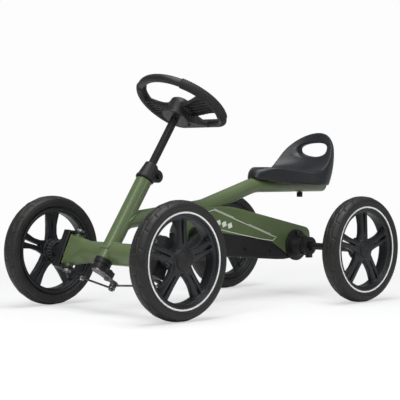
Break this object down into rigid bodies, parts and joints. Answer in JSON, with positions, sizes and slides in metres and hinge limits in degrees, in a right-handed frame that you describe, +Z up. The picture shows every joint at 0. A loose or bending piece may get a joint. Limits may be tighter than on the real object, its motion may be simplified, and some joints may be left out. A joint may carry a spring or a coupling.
{
  "type": "pedal go kart",
  "caption": "Child's pedal go kart: tube frame, steered front wheels on tie rods, cranks driving the rear axle by an enclosed chain, moulded seat with hand hole, D-shaped steering wheel.",
  "frame": {"origin": "on the ground, midway between the front and rear axles", "axes": "+X forward, +Y to the driver's left, +Z up"},
  "size_m": [0.827, 0.4958, 0.5244],
  "materials": {
    "frame_paint": "satin army green powder coat",
    "black_plastic": "fine grained moulded plastic",
    "wheel_plastic": "satin moulded plastic",
    "grip_rubber": "soft matt grip",
    "seat_plastic": "satin moulded plastic with fine grain",
    "rim_plastic": "satin moulded plastic",
    "tyre_foam": "matt foam rubber with shallow tread and a white ring",
    "bright_steel": "zinc plated",
    "black_metal": "semi-gloss black"
  },
  "bodies": {
    "frame": {"front_beam": "frame_paint", "beam_end_plates": "frame_paint", "kingpin_barrels": "frame_paint", "kingpin_bolts": "bright_steel", "head_tube": "frame_paint", "head_bushes": "black_plastic", "main_tube": "frame_paint", "tube_end_cap": "black_plastic", "rear_frame": "frame_paint", "chain_case_cover": "black_plastic", "case_screws": "bright_steel", "bearing_housings": "black_plastic", "bearing_screws": "bright_steel", "rear_bearings": "bright_steel", "crank_bushes": "black_plastic", "drive_chain": "bright_steel"},
    "steering_column": {"steering_shaft": "black_metal", "clamp_collar": "black_plastic", "clamp_bolt": "bright_steel", "lower_clamp": "black_plastic", "pitman_arm": "bright_steel", "linkage_screws": "bright_steel"},
    "steering_post": {"steering_post": "black_metal", "steering_wheel": "wheel_plastic", "wheel_grips": "grip_rubber", "wheel_hub_cap": "wheel_plastic"},
    "knuckle_left": {"knuckle_left": "black_plastic", "knuckle_pin_left": "bright_steel", "stub_axle_left": "bright_steel"},
    "knuckle_right": {"knuckle_right": "black_plastic", "knuckle_pin_right": "bright_steel", "stub_axle_right": "bright_steel"},
    "tie_rod_left": {"tie_rod_left": "bright_steel"},
    "tie_rod_right": {"tie_rod_right": "bright_steel"},
    "wheel_front_left": {"tyre_front_left": "tyre_foam", "rim_front_left": "rim_plastic", "hub_cap_front_left": "rim_plastic"},
    "wheel_front_right": {"tyre_front_right": "tyre_foam", "rim_front_right": "rim_plastic", "hub_cap_front_right": "rim_plastic"},
    "rear_axle": {"rear_axle": "black_metal", "rear_sprocket": "bright_steel", "axle_nuts_rear": "bright_steel", "tyre_rear_left": "tyre_foam", "rim_rear_left": "rim_plastic", "hub_cap_rear_left": "rim_plastic"},
    "wheel_rear_right": {"tyre_rear_right": "tyre_foam", "rim_rear_right": "rim_plastic", "hub_cap_rear_right": "rim_plastic"},
    "cranks": {"crank_axle": "black_metal", "chainring": "bright_steel", "crank_left": "black_metal", "crank_right": "black_metal", "pedal_spindles": "black_metal"},
    "pedal_left": {"pedal_left": "black_plastic"},
    "pedal_right": {"pedal_right": "black_plastic"},
    "seat": {"seat": "seat_plastic", "seat_clamp_plate": "black_plastic"},
    "seat_knob": {"seat_knob": "black_plastic"}
  },
  "joints": [
    {"name": "steering_turn", "type": "hinge", "parent": "frame", "child": "steering_column", "pos_m": [0.2853, 0, 0.1523], "axis": [-0.5519, 0, 0.8339], "range_deg": [-24, 24]},
    {"name": "steering_height", "type": "slide", "parent": "steering_column", "child": "steering_post", "axis": [-0.5519, 0, 0.8339], "range_m": [-0.06, 0.03]},
    {"name": "kingpin_left", "type": "hinge", "parent": "frame", "child": "knuckle_left", "pos_m": [0.2885, 0.132, 0.128], "axis": [-0.4067, 0, 0.9135], "range_deg": [-27.2, 27.2]},
    {"name": "kingpin_right", "type": "hinge", "parent": "frame", "child": "knuckle_right", "pos_m": [0.2885, -0.132, 0.128], "axis": [-0.4067, 0, 0.9135], "range_deg": [-27.2, 27.2]},
    {"name": "tie_rod_left_pivot", "type": "hinge", "parent": "steering_column", "child": "tie_rod_left", "pos_m": [0.28504, 0, 0.05847], "axis": [-0.5519, 0, 0.8339], "range_deg": [-24, 24]},
    {"name": "tie_rod_right_pivot", "type": "hinge", "parent": "steering_column", "child": "tie_rod_right", "pos_m": [0.28869, 0, 0.05297], "axis": [-0.5519, 0, 0.8339], "range_deg": [-24, 24]},
    {"name": "front_left_wheel_spin", "type": "hinge", "parent": "knuckle_left", "child": "wheel_front_left", "pos_m": [0.2885, 0.214, 0.125], "axis": [0, 1, 0], "continuous": true},
    {"name": "front_right_wheel_spin", "type": "hinge", "parent": "knuckle_right", "child": "wheel_front_right", "pos_m": [0.2885, -0.214, 0.125], "axis": [0, 1, 0], "continuous": true},
    {"name": "rear_axle_spin", "type": "hinge", "parent": "frame", "child": "rear_axle", "pos_m": [-0.2885, 0, 0.125], "axis": [0, 1, 0], "continuous": true},
    {"name": "rear_right_wheel_spin", "type": "hinge", "parent": "rear_axle", "child": "wheel_rear_right", "pos_m": [-0.2885, -0.226, 0.125], "axis": [0, 1, 0], "continuous": true},
    {"name": "crank_turn", "type": "hinge", "parent": "frame", "child": "cranks", "pos_m": [0.05878, 0, 0.16], "axis": [0, 1, 0], "continuous": true},
    {"name": "pedal_left_turn", "type": "hinge", "parent": "cranks", "child": "pedal_left", "pos_m": [0.12765, 0.0855, 0.12338], "axis": [0, 1, 0], "continuous": true},
    {"name": "pedal_right_turn", "type": "hinge", "parent": "cranks", "child": "pedal_right", "pos_m": [-0.01009, -0.0855, 0.19662], "axis": [0, 1, 0], "continuous": true},
    {"name": "seat_slide", "type": "slide", "parent": "frame", "child": "seat", "axis": [1, 0, 0], "range_m": [-0.01, 0.03]},
    {"name": "seat_knob_turn", "type": "hinge", "parent": "seat", "child": "seat_knob", "pos_m": [-0.326, 0, 0.25], "axis": [0, 0, 1], "continuous": true}
  ],
  "couplings": [
    {"joint": "kingpin_left", "follows": "steering_turn", "ratio": 1.1304},
    {"joint": "kingpin_right", "follows": "steering_turn", "ratio": 1.1304},
    {"joint": "tie_rod_left_pivot", "follows": "steering_turn", "ratio": -1},
    {"joint": "tie_rod_right_pivot", "follows": "steering_turn", "ratio": -1},
    {"joint": "crank_turn", "follows": "rear_axle_spin", "ratio": 0.66667}
  ]
}
